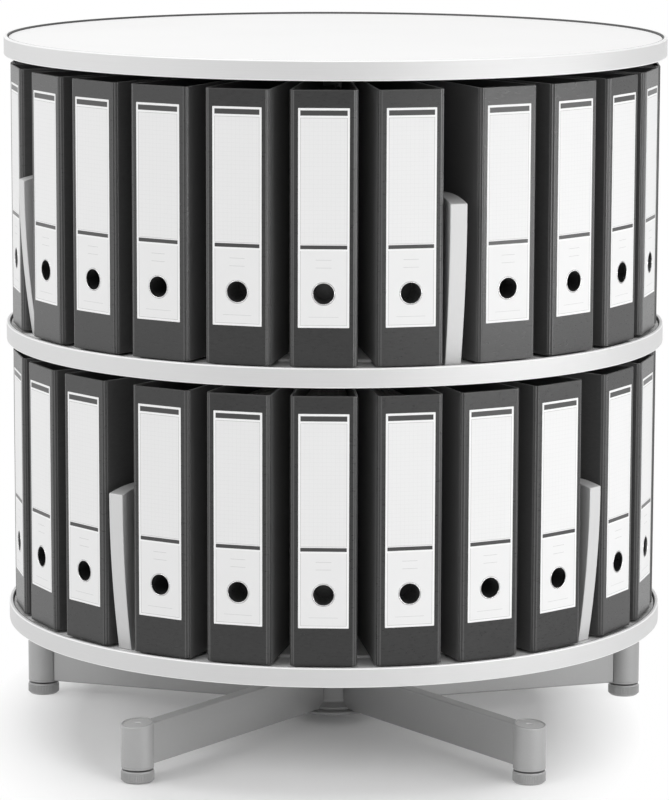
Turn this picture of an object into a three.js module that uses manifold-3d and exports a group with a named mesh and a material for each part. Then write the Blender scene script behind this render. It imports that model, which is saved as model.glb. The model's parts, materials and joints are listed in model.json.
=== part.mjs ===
// Rotary filing cabinet: a five-armed stand with levelling feet, a central column, two decks of lever arch
// files that turn on thrust bearings, and a fixed top.
// Millimetres, +Z up, origin on the floor under the column, front at -Y.
import * as THREE from 'three';
import { mergeVertices } from 'three/addons/utils/BufferGeometryUtils.js';
import Module from 'manifold-3d';

// Fits
const SEAT_GAP = 0.3; // between pieces that rest on, or are fixed in, one another
const RUNNING_GAP = 0.8; // round the column, where a deck turns

// Stand
const ARM_COUNT = 5;
const FIRST_ARM_ANGLE = 36; // degrees from the front, positive to the right
const ARM_WIDTH = 17;
const ARM_HEIGHT = 50;
const ARM_WALL = 2;
const ARM_EDGE = 1.2; // chamfer along the tube's corners
const ARM_RISE = 1.2; // underside of the arms above the underside of the posts
const POST_RADIUS = 19.3;
const POST_EDGE = 1;
const POST_PROUD = 3.3; // middle of a post's top above the arms
const POST_SLANT = 6.1; // degrees, falling outwards
const POST_SETBACK = 12; // centre of a post inside the edge of the decks
const FOOT_RADIUS = 19.8;
const FOOT_HEIGHT = 14.5;
const FOOT_EDGE = 2;
const FOOT_GAP = 1.8; // dark ring between foot and post
const STEM_RADIUS = 6;
const STEM_LENGTH = 34;
const STEM_GAP = 0.4;
const STEM_HEADROOM = 2;
const PLATE_RADIUS = 54;
const PLATE_THICKNESS = 4;
const HUB_WALL = 8.7;
const HUB_RISE = 33.9; // hub sleeve above the arms

// Column, collar and thrust bearings
const COLUMN_RADIUS = 25;
const COLUMN_WALL = 2.5;
const COLLAR_WALL = 13;
const COLLAR_HEIGHT = 22;
const COLLAR_EDGE = 1.5;
const WASHER_WIDTH = 8.2;
const WASHER_THICKNESS = 3;
const BALL_RADIUS = 1.7;

// Decks
const DECK_RADIUS = 405;
const PANEL_THICKNESS = 20.7;
const RIM_WALL = 5;
const RIM_EDGE = 1.5;
const TOP_RECESS = 2.3; // top panel below the edge of its rim
const MARGIN_WIDTH = 60; // lowered margin of a turning panel, inside its rim
const MARGIN_DEPTH = 3;
const LEDGE_DEPTH = 8.5;
const LEDGE_THICKNESS = 2.2;
const FLANGE_RADIUS = 90;
const FLANGE_THICKNESS = 4;
const BOSS_WALL = 8.5;
const BOSS_LENGTH = 20;

// Lever arch files
const SECTOR_COUNT = 4;
const FILES_PER_SECTOR = 6;
const DIVIDER_STEP = 17.5; // degrees from file to file across a divider
const FILE_HEIGHT = 316;
const FILE_WIDTH = 79.5;
const FILE_DEPTH = 285;
const FILE_SETBACK = 9.3; // spines inside the edge of the decks
const FILE_HEADROOM = 10.8; // to the deck above
const FILE_GAP = 1.1; // between the inner ends of loose files
const FILE_JOIN = 0.6; // how far the inner ends of a joined row press together
const SPINE_EDGE = 4.6; // slanting strip along each side of the spine
const BOARD = 2.6;
const PAPER_DROP = 19; // papers below the top of their covers
const HOLE_RADIUS = 12.2;
const HOLE_HEIGHT = 84;
const HOLE_DEPTH = 17;
const LOWER_FRONT_ANGLE = 5.5; // middle of the sector that faces the front, degrees
const UPPER_FRONT_ANGLE = -23.6;

// Dividers
const DIVIDER_THICKNESS = 21;
const DIVIDER_INNER_THICKNESS = 9;
const DIVIDER_LENGTH = 170;
const DIVIDER_SETBACK = 4; // widest point inside the edge of the decks
const DIVIDER_LEAN = 15; // foot of the outer edge inside its widest point
const DIVIDER_FRONT_HEIGHT = 185;
const DIVIDER_CROWN_RISE = 7.5;
const DIVIDER_CROWN_RUN = 48;
const DIVIDER_INNER_HEIGHT = 120;
const UPPER_DIVIDER_CLEARANCE = 0.748; // from an upper divider's inner end to the files on one side of it

// Roundness
const DECK_SIDES = 60;
const POST_SIDES = 24;
const HUB_SIDES = 30;
const BALL_SIDES = 8;
const HOLE_SIDES = 16;
const CURVE_STEPS = 6;

// Levels, from the floor up
const postBottom = FOOT_HEIGHT + FOOT_GAP;
const armBottom = postBottom + ARM_RISE;
const armTop = armBottom + ARM_HEIGHT;
const hubTop = armTop + HUB_RISE;
const bearingHeight = 2 * (WASHER_THICKNESS + SEAT_GAP) + 2 * BALL_RADIUS;
const rimHeight = LEDGE_THICKNESS + SEAT_GAP + PANEL_THICKNESS;
const flangeHeight = BOSS_LENGTH + FLANGE_THICKNESS;
const seatToDeckTop = bearingHeight + 2 * SEAT_GAP + flangeHeight + SEAT_GAP + PANEL_THICKNESS;
const lowerDeckTop = hubTop + seatToDeckTop;
const tierPitch = FILE_HEIGHT + FILE_HEADROOM + rimHeight;
const upperDeckTop = lowerDeckTop + tierPitch;
const topDeckTop = upperDeckTop + tierPitch;

// Radii shared by pieces that fit round one another
const columnSeat = COLUMN_RADIUS + SEAT_GAP;
const columnRunning = COLUMN_RADIUS + RUNNING_GAP;
const hubRadius = columnSeat + HUB_WALL;
const postCircle = DECK_RADIUS - POST_SETBACK;
const rimInside = DECK_RADIUS - RIM_WALL;
const marginInside = rimInside - SEAT_GAP - MARGIN_WIDTH;
const spineRadius = DECK_RADIUS - FILE_SETBACK;
const dividerOuter = DECK_RADIUS - DIVIDER_SETBACK;
const dividerInner = dividerOuter - DIVIDER_LENGTH;
const fileStep = (360 / SECTOR_COUNT - DIVIDER_STEP) / (FILES_PER_SECTOR - 1);

const wasm = await Module();
wasm.setup();

const FINISHES = {
  standPaint: { color: 0xa3a5a7, roughness: 0.42, metalness: 0.55 },
  steel: { color: 0xb4b6b8, roughness: 0.35, metalness: 0.9 },
  aluminium: { color: 0xd0d1d2, roughness: 0.38, metalness: 0.8 },
  whitePanel: { color: 0xf3f3f2, roughness: 0.55, metalness: 0 },
  silverDivider: { color: 0xd4d5d6, roughness: 0.45, metalness: 0.4 },
  fileBoard: { color: 0x3a3a3b, roughness: 0.7, metalness: 0 },
};

function piece(name, geometry, finish) {
  const mesh = new THREE.Mesh(geometry, new THREE.MeshStandardMaterial(FINISHES[finish]));
  mesh.name = name;
  return mesh;
}

// Turn that takes +X to the direction at so many degrees from the front.
function facing(degrees) {
  return THREE.MathUtils.degToRad(degrees - 90);
}

// Body turned about Z from [radius, height] corners, which go out along the bottom and up the outside.
function turned(corners, sides) {
  const profile = corners.map(([radius, height]) => new THREE.Vector2(radius, height));
  if (corners[0][0] > 0) profile.push(profile[0].clone());
  return new THREE.LatheGeometry(profile, sides).rotateX(Math.PI / 2);
}

function ring(inside, outside, bottom, top, sides) {
  return turned([[inside, bottom], [outside, bottom], [outside, top], [inside, top]], sides);
}

function extruded(shape, depth, curveSegments) {
  return new THREE.ExtrudeGeometry(shape, { depth, bevelEnabled: false, curveSegments });
}

// Closed solid that can be joined and cut.
function solid(geometry) {
  const bare = geometry.clone();
  bare.deleteAttribute('normal');
  bare.deleteAttribute('uv');
  const merged = mergeVertices(bare);
  const corners = [];
  for (let i = 0; i < merged.index.count; i += 3) {
    const triangle = [0, 1, 2].map((step) => merged.index.getX(i + step));
    if (new Set(triangle).size === 3) corners.push(...triangle);
  }
  const vertProperties = merged.attributes.position.array;
  const triVerts = Uint32Array.from(corners);
  return new wasm.Manifold(new wasm.Mesh({ numProp: 3, vertProperties, triVerts }));
}

function surface(manifold) {
  const mesh = manifold.getMesh();
  const geometry = new THREE.BufferGeometry();
  geometry.setAttribute('position', new THREE.BufferAttribute(Float32Array.from(mesh.vertProperties), 3));
  geometry.setIndex(new THREE.BufferAttribute(Uint32Array.from(mesh.triVerts), 1));
  geometry.computeVertexNormals();
  return geometry;
}

// Stand: arms, posts and levelling feet, each drawn along +X

function rectangle(width, height, edge) {
  const halfWidth = width / 2;
  const halfHeight = height / 2;
  const corners = [];
  for (const [x, y] of [[1, -1], [1, 1], [-1, 1], [-1, -1]]) {
    const along = new THREE.Vector2(x * halfWidth, y * (halfHeight - edge));
    const across = new THREE.Vector2(x * (halfWidth - edge), y * halfHeight);
    corners.push(...(x * y < 0 ? [across, along] : [along, across]));
  }
  return corners;
}

// Square-cornered tube whose ends are hollowed to sit against the hub sleeve and the post.
function armGeometry() {
  const section = new THREE.Shape(rectangle(ARM_WIDTH, ARM_HEIGHT, ARM_EDGE));
  const inside = rectangle(ARM_WIDTH - 2 * ARM_WALL, ARM_HEIGHT - 2 * ARM_WALL, ARM_EDGE);
  section.holes.push(new THREE.Path(inside));
  const tube = extruded(section, postCircle, 1);
  tube.rotateX(Math.PI / 2).rotateZ(Math.PI / 2).translate(0, 0, armBottom + ARM_HEIGHT / 2);
  const reach = ARM_HEIGHT;
  const hubSeat = hubRadius + SEAT_GAP;
  const postSeat = POST_RADIUS + SEAT_GAP;
  const hub = new THREE.CylinderGeometry(hubSeat, hubSeat, 2 * reach, HUB_SIDES);
  const post = new THREE.CylinderGeometry(postSeat, postSeat, 2 * reach, POST_SIDES);
  hub.rotateX(Math.PI / 2).translate(0, 0, armTop);
  post.rotateX(Math.PI / 2).translate(postCircle, 0, armTop);
  return surface(solid(tube).subtract(solid(hub)).subtract(solid(post)));
}

// Round post with a bore for the foot's stem and a top that falls outwards.
function postGeometry() {
  const top = armTop + POST_PROUD;
  const bore = STEM_RADIUS + STEM_GAP;
  const boreTop = FOOT_HEIGHT + STEM_LENGTH + STEM_HEADROOM;
  const geometry = turned([
    [0, boreTop],
    [bore, boreTop],
    [bore, postBottom],
    [POST_RADIUS - POST_EDGE, postBottom],
    [POST_RADIUS, postBottom + POST_EDGE],
    [POST_RADIUS, top - POST_EDGE],
    [POST_RADIUS - POST_EDGE, top],
    [0, top],
  ], POST_SIDES);
  const fall = Math.tan(THREE.MathUtils.degToRad(POST_SLANT));
  const points = geometry.attributes.position;
  for (let i = 0; i < points.count; i += 1) {
    const isTop = points.getZ(i) > top - 1.5 * POST_EDGE;
    if (isTop) points.setZ(i, points.getZ(i) - fall * points.getX(i));
  }
  return geometry.translate(postCircle, 0, 0);
}

function footGeometry() {
  return turned([
    [0, 0],
    [FOOT_RADIUS - FOOT_EDGE, 0],
    [FOOT_RADIUS, FOOT_EDGE],
    [FOOT_RADIUS, FOOT_HEIGHT],
    [STEM_RADIUS, FOOT_HEIGHT],
    [STEM_RADIUS, FOOT_HEIGHT + STEM_LENGTH],
    [0, FOOT_HEIGHT + STEM_LENGTH],
  ], POST_SIDES).translate(postCircle, 0, 0);
}

function stand() {
  const group = new THREE.Group();
  const plateTop = armBottom - SEAT_GAP;
  const plate = new THREE.CylinderGeometry(PLATE_RADIUS, PLATE_RADIUS, PLATE_THICKNESS, HUB_SIDES);
  plate.rotateX(Math.PI / 2).translate(0, 0, plateTop - PLATE_THICKNESS / 2);
  group.add(piece('base_plate', plate, 'standPaint'));
  group.add(piece('hub_sleeve', ring(columnSeat, hubRadius, armBottom, hubTop, HUB_SIDES), 'standPaint'));
  for (let i = 0; i < ARM_COUNT; i += 1) {
    const spoke = new THREE.Group();
    spoke.rotation.z = facing(FIRST_ARM_ANGLE + (i * 360) / ARM_COUNT);
    spoke.add(piece(`arm_${i + 1}`, armGeometry(), 'standPaint'));
    spoke.add(piece(`post_${i + 1}`, postGeometry(), 'standPaint'));
    spoke.add(piece(`levelling_foot_${i + 1}`, footGeometry(), 'standPaint'));
    group.add(spoke);
  }
  return group;
}

// Column with the collar that carries the upper bearing

function columnAndCollar() {
  const group = new THREE.Group();
  const columnTop = topDeckTop - PANEL_THICKNESS - SEAT_GAP - FLANGE_THICKNESS - SEAT_GAP;
  const column = ring(COLUMN_RADIUS - COLUMN_WALL, COLUMN_RADIUS, armBottom, columnTop, HUB_SIDES);
  group.add(piece('column', column, 'steel'));
  const collarTop = upperDeckTop - seatToDeckTop;
  const collarRadius = columnSeat + COLLAR_WALL;
  const collar = turned([
    [columnSeat, collarTop - COLLAR_HEIGHT],
    [collarRadius - COLLAR_EDGE, collarTop - COLLAR_HEIGHT],
    [collarRadius, collarTop - COLLAR_HEIGHT + COLLAR_EDGE],
    [collarRadius, collarTop - COLLAR_EDGE],
    [collarRadius - COLLAR_EDGE, collarTop],
    [columnSeat, collarTop],
  ], HUB_SIDES);
  group.add(piece('column_collar', collar, 'steel'));
  return group;
}

// Thrust bearing on a seat: a still washer, a ring of balls and a washer that turns with the deck.
function thrustBearing(tier, seat) {
  const group = new THREE.Group();
  const lowBottom = seat + SEAT_GAP;
  const lowTop = lowBottom + WASHER_THICKNESS;
  const ballMiddle = lowTop + SEAT_GAP / 2 + BALL_RADIUS;
  const highBottom = lowTop + SEAT_GAP + 2 * BALL_RADIUS;
  const outside = columnRunning + WASHER_WIDTH;
  const pitchRadius = (columnRunning + outside) / 2;
  const balls = [];
  for (let i = 0; i < BALL_SIDES; i += 1) {
    const angle = (i * 2 * Math.PI) / BALL_SIDES;
    balls.push([pitchRadius + BALL_RADIUS * Math.cos(angle), ballMiddle + BALL_RADIUS * Math.sin(angle)]);
  }
  const still = ring(columnSeat, outside, lowBottom, lowTop, HUB_SIDES);
  const turning = ring(columnRunning, outside, highBottom, highBottom + WASHER_THICKNESS, HUB_SIDES);
  group.add(piece(`${tier}_bearing_seat_washer`, still, 'steel'));
  group.add(piece(`${tier}_bearing_ball_ring`, turned(balls, HUB_SIDES), 'steel'));
  group.add(piece(`${tier}_bearing_turning_washer`, turning, 'steel'));
  return group;
}

// Decks

// Rim of a deck: a rounded band with a ledge that the panel lies on.
function rimGeometry(deckTop) {
  const bottom = deckTop - rimHeight;
  const ledgeTop = bottom + LEDGE_THICKNESS;
  const ledgeInside = rimInside - LEDGE_DEPTH;
  return turned([
    [ledgeInside, bottom],
    [DECK_RADIUS - RIM_EDGE, bottom],
    [DECK_RADIUS, bottom + RIM_EDGE],
    [DECK_RADIUS, deckTop - RIM_EDGE],
    [DECK_RADIUS - RIM_EDGE, deckTop],
    [rimInside, deckTop],
    [rimInside, ledgeTop],
    [ledgeInside, ledgeTop],
  ], DECK_SIDES);
}

// Flange under a panel, with a boss round the column; a closed one caps the column's end.
function flangeGeometry(deckTop, bore, isClosed) {
  const top = deckTop - PANEL_THICKNESS - SEAT_GAP;
  const plateBottom = top - FLANGE_THICKNESS;
  const outline = [
    [bore, plateBottom - BOSS_LENGTH],
    [bore + BOSS_WALL, plateBottom - BOSS_LENGTH],
    [bore + BOSS_WALL, plateBottom],
    [FLANGE_RADIUS, plateBottom],
    [FLANGE_RADIUS, top],
  ];
  const closed = [[0, plateBottom], [bore, plateBottom], ...outline, [0, top]];
  return turned(isClosed ? closed : [...outline, [bore, top]], HUB_SIDES);
}

// Panel that files stand on, with a hole for the column and a lowered margin inside the rim.
function panelGeometry(deckTop) {
  const edge = rimInside - SEAT_GAP;
  const bottom = deckTop - PANEL_THICKNESS;
  const marginTop = deckTop - MARGIN_DEPTH;
  return turned([
    [columnRunning, bottom],
    [edge, bottom],
    [edge, marginTop],
    [marginInside, marginTop],
    [marginInside, deckTop],
    [columnRunning, deckTop],
  ], DECK_SIDES);
}

// Deck that carries files: panel, rim and flange.
function turningDeck(tier, deckTop) {
  const group = new THREE.Group();
  group.add(piece(`${tier}_panel`, panelGeometry(deckTop), 'whitePanel'));
  group.add(piece(`${tier}_rim`, rimGeometry(deckTop), 'aluminium'));
  group.add(piece(`${tier}_hub_flange`, flangeGeometry(deckTop, columnRunning, false), 'standPaint'));
  return group;
}

function topDeck() {
  const group = new THREE.Group();
  const radius = rimInside - SEAT_GAP;
  const thickness = PANEL_THICKNESS - TOP_RECESS;
  const panel = new THREE.CylinderGeometry(radius, radius, thickness, DECK_SIDES);
  panel.rotateX(Math.PI / 2).translate(0, 0, topDeckTop - TOP_RECESS - thickness / 2);
  group.add(piece('top_panel', panel, 'whitePanel'));
  group.add(piece('top_rim', rimGeometry(topDeckTop), 'aluminium'));
  group.add(piece('top_hub_flange', flangeGeometry(topDeckTop, columnSeat, true), 'standPaint'));
  return group;
}

// Dividers: upright fins that bow outwards and arch over the top, thinner towards the column. Their feet
// step down on to the panel's margin.
function dividerGeometry() {
  const crownHeight = DIVIDER_FRONT_HEIGHT + DIVIDER_CROWN_RISE;
  const crownRadius = dividerOuter - DIVIDER_CROWN_RUN;
  const side = new THREE.Shape();
  side.moveTo(dividerInner, 0);
  side.lineTo(marginInside + SEAT_GAP, 0);
  side.lineTo(marginInside + SEAT_GAP, -MARGIN_DEPTH);
  side.lineTo(dividerOuter - DIVIDER_LEAN, -MARGIN_DEPTH);
  side.quadraticCurveTo(dividerOuter, DIVIDER_FRONT_HEIGHT / 2, dividerOuter, DIVIDER_FRONT_HEIGHT);
  side.quadraticCurveTo((dividerOuter + crownRadius) / 2, crownHeight, crownRadius, crownHeight);
  side.quadraticCurveTo(dividerInner, crownHeight, dividerInner, DIVIDER_INNER_HEIGHT);
  const geometry = extruded(side, 1, CURVE_STEPS).translate(0, 0, -0.5).rotateX(Math.PI / 2);
  const points = geometry.attributes.position;
  for (let i = 0; i < points.count; i += 1) {
    const share = (points.getX(i) - dividerInner) / DIVIDER_LENGTH;
    const thickness = THREE.MathUtils.lerp(DIVIDER_INNER_THICKNESS, DIVIDER_THICKNESS, share);
    points.setY(i, points.getY(i) * thickness);
  }
  return geometry;
}

// Lever arch files, standing with their spines outwards

const fileInner = spineRadius - FILE_DEPTH;
const halfStep = THREE.MathUtils.degToRad(fileStep / 2);
const looseInnerHalf = fileInner * Math.tan(halfStep) - FILE_GAP / 2;
const joinedInnerHalf = fileInner * Math.tan(halfStep) + FILE_JOIN;

// Plan of the covers and spine, X outwards.
function coverPlan(innerHalf) {
  const half = FILE_WIDTH / 2;
  const slope = new THREE.Vector2(FILE_DEPTH, half - innerHalf).setLength(SPINE_EDGE);
  const plan = new THREE.Shape();
  plan.moveTo(fileInner, -innerHalf);
  plan.lineTo(spineRadius - slope.x, -half + slope.y);
  plan.lineTo(spineRadius, -half + SPINE_EDGE);
  plan.lineTo(spineRadius, half - SPINE_EDGE);
  plan.lineTo(spineRadius - slope.x, half - slope.y);
  plan.lineTo(fileInner, innerHalf);
  return plan;
}

// Loose file: covers round a block of papers that ends below their top, and a finger hole in the spine.
function fileGeometry() {
  const block = solid(extruded(coverPlan(looseInnerHalf), FILE_HEIGHT, 1));
  const taper = (FILE_WIDTH / 2 - looseInnerHalf) / FILE_DEPTH;
  const paperInner = fileInner - BOARD;
  const paperOuter = spineRadius - SPINE_EDGE - BOARD;
  const innerHalf = looseInnerHalf - BOARD * (1 + taper);
  const outerHalf = innerHalf + (paperOuter - paperInner) * taper;
  const space = new THREE.Shape([
    new THREE.Vector2(paperInner, -innerHalf),
    new THREE.Vector2(paperOuter, -outerHalf),
    new THREE.Vector2(paperOuter, outerHalf),
    new THREE.Vector2(paperInner, innerHalf),
  ]);
  const tray = extruded(space, 2 * PAPER_DROP, 1).translate(0, 0, FILE_HEIGHT - PAPER_DROP);
  const hole = new THREE.CylinderGeometry(HOLE_RADIUS, HOLE_RADIUS, 2 * HOLE_DEPTH, HOLE_SIDES);
  hole.rotateZ(Math.PI / 2).translate(spineRadius, 0, HOLE_HEIGHT);
  return surface(block.subtract(solid(tray)).subtract(solid(hole)));
}

// Sector of files whose inner ends press together, as one body.
function rowGeometry() {
  const plain = extruded(coverPlan(joinedInnerHalf), FILE_HEIGHT, 1);
  let row;
  for (let i = 0; i < FILES_PER_SECTOR; i += 1) {
    const turn = THREE.MathUtils.degToRad((i - (FILES_PER_SECTOR - 1) / 2) * fileStep);
    const file = solid(plain.clone().rotateZ(turn));
    row = row ? row.add(file) : file;
  }
  return surface(row);
}

// Turn, in degrees, that takes a divider from the middle of its gap to a clearance from the files beside it.
// Its inner end is what comes nearest to their sides.
function turnTowardsFiles(clearance) {
  const taper = Math.atan2(FILE_WIDTH / 2 - joinedInnerHalf, FILE_DEPTH);
  const sideOffset = joinedInnerHalf * Math.cos(taper) - fileInner * Math.sin(taper);
  const corner = new THREE.Vector2(dividerInner, DIVIDER_INNER_THICKNESS / 2);
  const sideAngle = THREE.MathUtils.degToRad(DIVIDER_STEP / 2) - taper;
  const reach = Math.asin((clearance + sideOffset) / corner.length());
  return THREE.MathUtils.radToDeg(sideAngle - corner.angle() - reach);
}

// What stands on a deck: dividers, loose files in the front sector and joined rows in the others.
function contents(tier, deckTop, frontAngle, dividerTurn) {
  const group = new THREE.Group();
  const sector = 360 / SECTOR_COUNT;
  group.position.z = deckTop + SEAT_GAP;
  for (let s = 0; s < SECTOR_COUNT; s += 1) {
    const divider = piece(`${tier}_divider_${s + 1}`, dividerGeometry(), 'silverDivider');
    divider.rotation.z = facing(frontAngle + (s - 0.5) * sector + dividerTurn);
    group.add(divider);
    if (s === 0) continue;
    const row = piece(`${tier}_file_row_${s}`, rowGeometry(), 'fileBoard');
    row.rotation.z = facing(frontAngle + s * sector);
    group.add(row);
  }
  for (let i = 0; i < FILES_PER_SECTOR; i += 1) {
    const file = piece(`${tier}_file_${i + 1}`, fileGeometry(), 'fileBoard');
    file.rotation.z = facing(frontAngle + (i - (FILES_PER_SECTOR - 1) / 2) * fileStep);
    group.add(file);
  }
  return group;
}

const cabinet = new THREE.Group();
cabinet.add(stand(), columnAndCollar());
cabinet.add(thrustBearing('lower', hubTop), thrustBearing('upper', upperDeckTop - seatToDeckTop));
cabinet.add(turningDeck('lower', lowerDeckTop), turningDeck('upper', upperDeckTop), topDeck());
cabinet.add(contents('lower', lowerDeckTop, LOWER_FRONT_ANGLE, 0));
const upperDividerTurn = -turnTowardsFiles(UPPER_DIVIDER_CLEARANCE);
cabinet.add(contents('upper', upperDeckTop, UPPER_FRONT_ANGLE, upperDividerTurn));

export default cabinet;
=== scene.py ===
"""Looks of a rotary filing cabinet: stand, decks, dividers and lever arch files, round its solids."""

import json
import math
import random

import bmesh
import bpy
from mathutils import Matrix, Vector


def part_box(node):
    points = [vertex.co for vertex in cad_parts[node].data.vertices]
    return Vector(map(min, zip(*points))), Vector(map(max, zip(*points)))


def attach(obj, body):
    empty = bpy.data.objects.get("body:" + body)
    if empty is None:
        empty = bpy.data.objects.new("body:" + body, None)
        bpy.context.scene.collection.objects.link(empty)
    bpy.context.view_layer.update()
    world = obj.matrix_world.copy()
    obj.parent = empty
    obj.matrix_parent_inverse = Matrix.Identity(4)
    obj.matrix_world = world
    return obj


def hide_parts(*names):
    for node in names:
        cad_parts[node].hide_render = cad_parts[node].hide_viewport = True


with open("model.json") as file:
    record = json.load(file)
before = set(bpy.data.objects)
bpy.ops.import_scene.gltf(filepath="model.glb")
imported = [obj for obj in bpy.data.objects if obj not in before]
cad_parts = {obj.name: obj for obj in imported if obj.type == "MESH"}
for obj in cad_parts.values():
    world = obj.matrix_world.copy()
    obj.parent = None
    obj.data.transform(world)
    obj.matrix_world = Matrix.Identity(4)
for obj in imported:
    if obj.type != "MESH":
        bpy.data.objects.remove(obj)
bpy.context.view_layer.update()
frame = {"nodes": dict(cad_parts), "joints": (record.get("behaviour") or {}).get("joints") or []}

MM = 0.001
MERGE_DISTANCE = 0.001 * MM
TIERS = ("lower", "upper")
DECK_BODIES = {"lower": "lower_carousel", "upper": "upper_carousel", "top": "base"}
SQUARE = [(-1, -1), (1, -1), (1, 1), (-1, 1)]

# Roundness of turned pieces
DECK_SIDES = 256
POST_SIDES = 64
SMALL_SIDES = 48
RIB_SIDES = 8
BALL_SIDES = 12
BALL_LEVELS = 8
SHARP_ANGLE = 32  # degrees; flatter edges are shaded smooth
COVER_SHARP_ANGLE = 10

# Stand
ARM_CORNER = 1.8 * MM
ARM_SINK = 0.8 * MM  # dark joint between an arm and what it is welded to
POST_SLANT = 6.1  # degrees, falling outwards
POST_SLANT_REACH = 3 * MM  # top part of a post that slants
POST_EDGE = 1.1 * MM
POST_GROOVE_HEIGHT = 2.6 * MM
POST_GROOVE_DEPTH = 0.25 * MM
CAP_SETBACK = 2.2 * MM  # post wall that shows round the cap
CAP_SEAT = 2 * MM  # depth of the seat for the cap
CAP_LIFT = 0.2 * MM  # underside of the cap above its seat
CAP_PLAY = 0.1 * MM
CAP_SINK = 0.8 * MM
CAP_DIMPLE_RADIUS = 4.2 * MM
CAP_DIMPLE_SLOPE = 0.4 * MM
CAP_DIMPLE_DEPTH = 0.9 * MM
FOOT_RIBS = 60
FOOT_RIB_RADIUS = 0.75 * MM
FOOT_RIB_ROUND = 0.3 * MM
FOOT_RIB_LIFT = 0.5 * MM  # ribs above the chamfer
FOOT_BAND = 2.2 * MM  # smooth band above the ribs
FOOT_CHAMFER = 2 * MM
FOOT_HEIGHT = 14.5 * MM
FOOT_UNDER_ROUND = 0.4 * MM
FOOT_SIDE_ROUND = 0.6 * MM
FOOT_TOP_ROUND = 0.7 * MM
STEM_RADIUS = 6 * MM
STEM_ROOT_ROUND = 0.3 * MM
STEM_END_ROUND = 0.5 * MM
HUB_BORE = 25.3 * MM
HUB_SKIRT = 9 * MM  # flare of the hub sleeve where it is welded to its plate
TURNED_EDGE = 0.8 * MM

# Column and bearings
COLUMN_BORE = 22.5 * MM
RUNNING_BORE = 25.8 * MM
BALL_RADIUS = 1.65 * MM
BALLS = 48
FLANGE_THICKNESS = 4 * MM
BOSS_WALL = 8.5 * MM

# Decks
RIM_WALL = 5 * MM
RIM_ROUND = 1.8 * MM
RIM_INNER_ROUND = 0.5 * MM
RIM_HIGHLIGHT_BAND = 1.26 * MM  # height of the painted highlight along a rim's edges
RIM_SHADE_LINE = 1.1 * MM  # painted shade on the rim's inner side, reaching this far onto its top
RIM_LEDGE = 8.5 * MM
RIM_LEDGE_THICKNESS = 2.2 * MM
RIM_LEDGE_ROUND = 0.4 * MM
PANEL_GROOVE = 0.5 * MM  # shadow line between a panel and its rim
PANEL_EDGE = 0.7 * MM
PANEL_MARGIN = 60 * MM  # lowered margin of a turning panel, inside its rim
PANEL_MARGIN_DEPTH = 3 * MM

# Dividers
DIVIDER_LEAN = 15 * MM
DIVIDER_FRONT_HEIGHT = 185 * MM
DIVIDER_CROWN_RUN = 48 * MM
DIVIDER_INNER_HEIGHT = 120 * MM
DIVIDER_INNER_THICKNESS = 9 * MM
DIVIDER_EDGE = 1.1 * MM
DIVIDER_STEP_GAP = 0.3 * MM  # between a divider's foot and the raised middle of the panel
DIVIDER_STEPS = 16
FRONT_EDGE = "front_edge"  # attribute: 1 on the edge that faces out, 0 on the sides
FRONT_FACING = 0.6  # least outward part of the front edge's normals

# Covers of the lever arch files
BOARD = 2.6 * MM
BOARD_LIP = 0.5 * MM
SPINE_EDGE = 4.6 * MM
CREASE_WIDTH = 0.9 * MM
CREASE_DEPTH = 0.5 * MM
CREASE_FACE_WIDTHS = (0.45 * MM, 1.26 * MM)  # only the faces of the grooves are this wide
STRIP_SWELL = 0.45 * MM  # fold along the middle of a hinge strip
COVER_PAPER = "cover_paper"  # attribute: 1 on the covers, 0 on the spine
COVER_FACING = 0.9  # least sideways part of the covers' normals
CREASE_WEAR_AND_HIGHLIGHT = "crease_wear_and_highlight"  # attribute: 1 in the grooves beside the spine, coloured paler as wear and as painted highlight
# band along the files' top edges coloured paler, as wear and as painted highlight
TOP_WEAR_AND_HIGHLIGHT_HEIGHT = 1.2 * MM
SCUFFED_HEIGHT = 1.6 * MM
HOLE_RADIUS = 12.2 * MM
HOLE_HEIGHT = 84 * MM
HOLE_DEPTH = 45 * MM

# Metal and papers of the files
RING_WIDTH = 0.95 * MM
RING_PROUD = 0.7 * MM
RING_ROUND = 0.5 * MM
RING_SLEEVE = 0.2 * MM  # sleeve in the finger hole, to either side of the hole's wall
PLATE_SETBACK = 32 * MM  # middle of the lever plate behind the spine
PLATE_GAP = 0.2 * MM
PLATE_HALF_WIDTH = 17 * MM
PLATE_HALF_LENGTH = 82 * MM
PLATE_CORNER = 4 * MM
PLATE_THICKNESS = 1.2 * MM
ARCH_PITCH = 80 * MM
ARCH_RISE = 42 * MM
ARCH_HALF_WIDTH = 12 * MM
ARCH_FOOT = 1 * MM
ARCH_FULLNESS = 0.7  # below 1, the shoulders of an arch are fuller than a circle's
ARCH_STEPS = 8
ARCH_RADIUS = 1.6 * MM
LEVER_RADIUS = 2 * MM
LEVER_PATH = [(6, 3, -30), (8, 10, -8), (8, 14, 30), (8, 14, 62), (8, 9, 70)]  # mm from the plate's middle
SHEET_HEIGHT = 297 * MM
SHEET_SETBACK = 48 * MM  # papers behind the spine
SHEET_CLEARANCE = 3.38 * MM  # papers inside the outer faces of the covers
SHEAVES = 9
SHEAF_FILL = 0.96  # share of a sheaf's space that its sheets take
SHEAF_BASE = 1.2 * MM
SHEAF_SETBACKS = (1 * MM, 7 * MM)
SHEAF_DROPS = (0, 2.4 * MM)
SHEAF_SEED = 7

# Labels
LABEL_CORNER = 0.6 * MM
LABEL_BASE = 45 * MM  # underside of the label above the underside of the file
LABEL_THICKNESS = 0.35 * MM
LABEL_CLEARANCE = 0.3 * MM  # dark line between the finger ring and the label

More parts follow.
